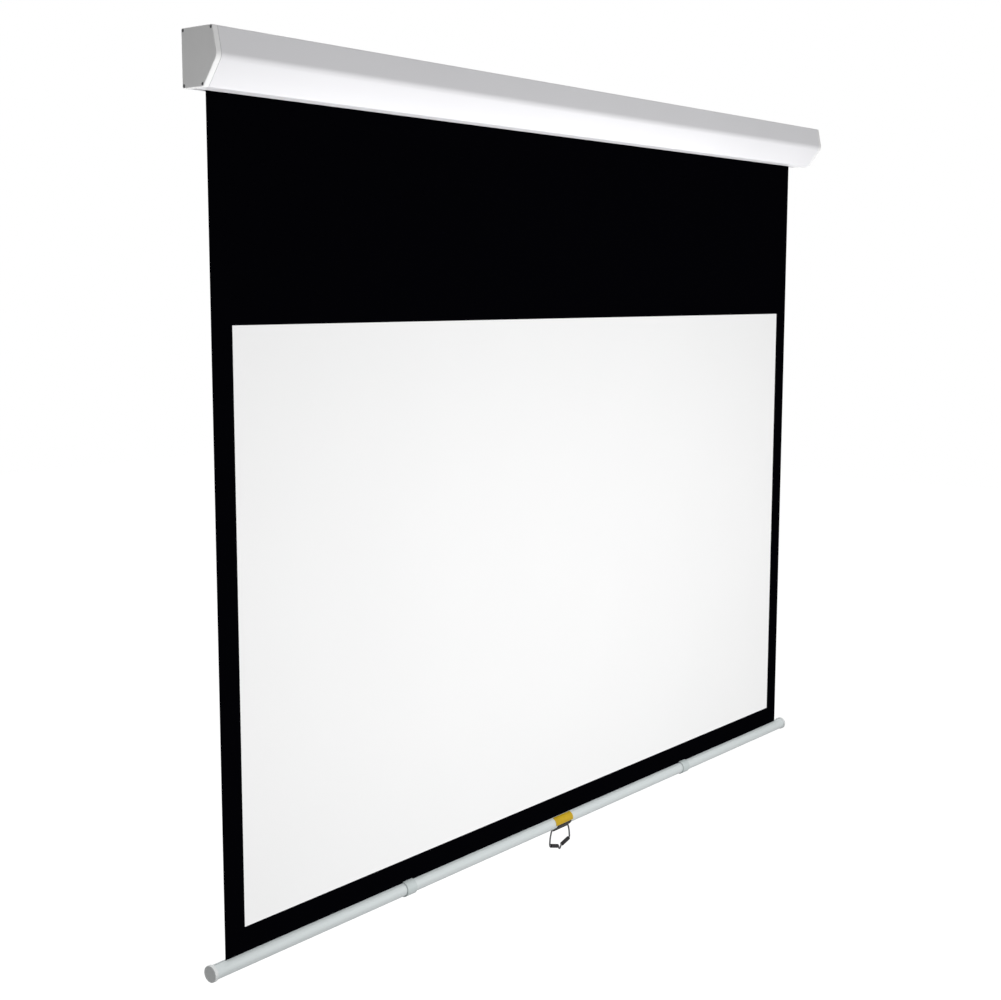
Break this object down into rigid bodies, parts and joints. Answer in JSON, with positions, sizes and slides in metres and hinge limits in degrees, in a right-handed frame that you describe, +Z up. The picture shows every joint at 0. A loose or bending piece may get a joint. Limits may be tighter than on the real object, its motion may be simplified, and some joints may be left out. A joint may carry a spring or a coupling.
{
  "type": "pull down projector screen",
  "caption": "Wall-hung manual projection screen: a slim casing with a sprung roller, a black-bordered white cloth, and a round bottom bar with stop collars and a wire pull handle.",
  "frame": {"origin": "on the wall, midway between the two wall brackets, level with the middle of the roller end", "axes": "+X to the viewer's right along the casing, +Y into the wall, +Z up"},
  "size_m": [2.219, 0.0991, 1.7946],
  "materials": {
    "bar_enamel": "pale grey enamel on aluminium",
    "bar_plastic": "grey moulded plastic",
    "black_cloth": "black coated cloth",
    "cap_plastic": "pale grey moulded plastic, satin",
    "dark_steel": "blackened steel screws",
    "handle_rubber": "black rubber",
    "handle_wire": "dark steel wire",
    "marker_yellow": "plain yellow film",
    "matte_white": "matte white projection coating",
    "mill_aluminium": "bare aluminium",
    "nylon": "natural nylon",
    "spring_steel": "oiled spring steel",
    "white_enamel": "smooth white powder coat on aluminium",
    "zinc_steel": "zinc-plated steel"
  },
  "bodies": {
    "casing": {"casing_extrusion": "white_enamel", "damper_rotor": "nylon", "damper_shaft": "zinc_steel", "left_cap_screw_low_back": "dark_steel", "left_cap_screw_low_front": "dark_steel", "left_cap_screw_top_back": "dark_steel", "left_cap_screw_top_front": "dark_steel", "left_end_cap": "cap_plastic", "left_lock_screw": "dark_steel", "left_shaft_plate": "zinc_steel", "left_wall_bracket": "zinc_steel", "picture_surface": "matte_white", "ratchet_wheel": "zinc_steel", "right_cap_screw_low_back": "dark_steel", "right_cap_screw_low_front": "dark_steel", "right_cap_screw_top_back": "dark_steel", "right_cap_screw_top_front": "dark_steel", "right_end_cap": "cap_plastic", "right_lock_screw": "dark_steel", "right_shaft_plate": "zinc_steel", "right_wall_bracket": "zinc_steel", "screen_cloth": "black_cloth", "spring_anchor": "nylon", "spring_spindle": "zinc_steel", "torsion_spring": "spring_steel"},
    "roller": {"roller_tube": "mill_aluminium", "cloth_key_strip": "nylon", "cloth_winding": "black_cloth", "spring_end_plug": "nylon", "front_pawl_pin": "zinc_steel", "rear_pawl_pin": "zinc_steel", "damper_housing": "nylon", "damper_lid": "nylon"},
    "front_pawl": {"front_pawl": "zinc_steel"},
    "rear_pawl": {"rear_pawl": "zinc_steel"},
    "bottom_bar": {"bar_tube": "bar_enamel", "hem_rod": "nylon", "hem_loop": "black_cloth", "left_bar_cap": "bar_plastic", "right_bar_cap": "bar_plastic", "left_stop_collar": "bar_plastic", "right_stop_collar": "bar_plastic", "pull_marker": "marker_yellow", "handle_clasp": "handle_rubber", "left_handle_screw": "dark_steel", "right_handle_screw": "dark_steel"},
    "handle": {"handle_wire": "handle_wire", "left_grip_sleeve": "handle_rubber", "right_grip_sleeve": "handle_rubber"}
  },
  "joints": [
    {"name": "screen_pull", "type": "slide", "parent": "casing", "child": "bottom_bar", "axis": [0, 0, 1], "range_m": [0, 1.6023], "deforming": ["screen_cloth", "picture_surface"]},
    {"name": "roller_turn", "type": "hinge", "parent": "casing", "child": "roller", "pos_m": [0, -0.04654, -0.01], "axis": [1, 0, 0], "range_deg": [0, 3257], "deforming": ["torsion_spring"]},
    {"name": "handle_swing", "type": "hinge", "parent": "bottom_bar", "child": "handle", "pos_m": [0, -0.0215, -1.69863], "axis": [1, 0, 0], "range_deg": [-85, 19]},
    {"name": "front_pawl_swing", "type": "hinge", "parent": "roller", "child": "front_pawl", "pos_m": [-1.0768, -0.03558, 0.00096], "axis": [-1, 0, 0], "range_deg": [0, 16]},
    {"name": "rear_pawl_swing", "type": "hinge", "parent": "roller", "child": "rear_pawl", "pos_m": [-1.0768, -0.0575, -0.02096], "axis": [-1, 0, 0], "range_deg": [0, 16]}
  ],
  "couplings": [
    {"joint": "roller_turn", "follows": "screen_pull", "rad_per_m": 35.458}
  ]
}
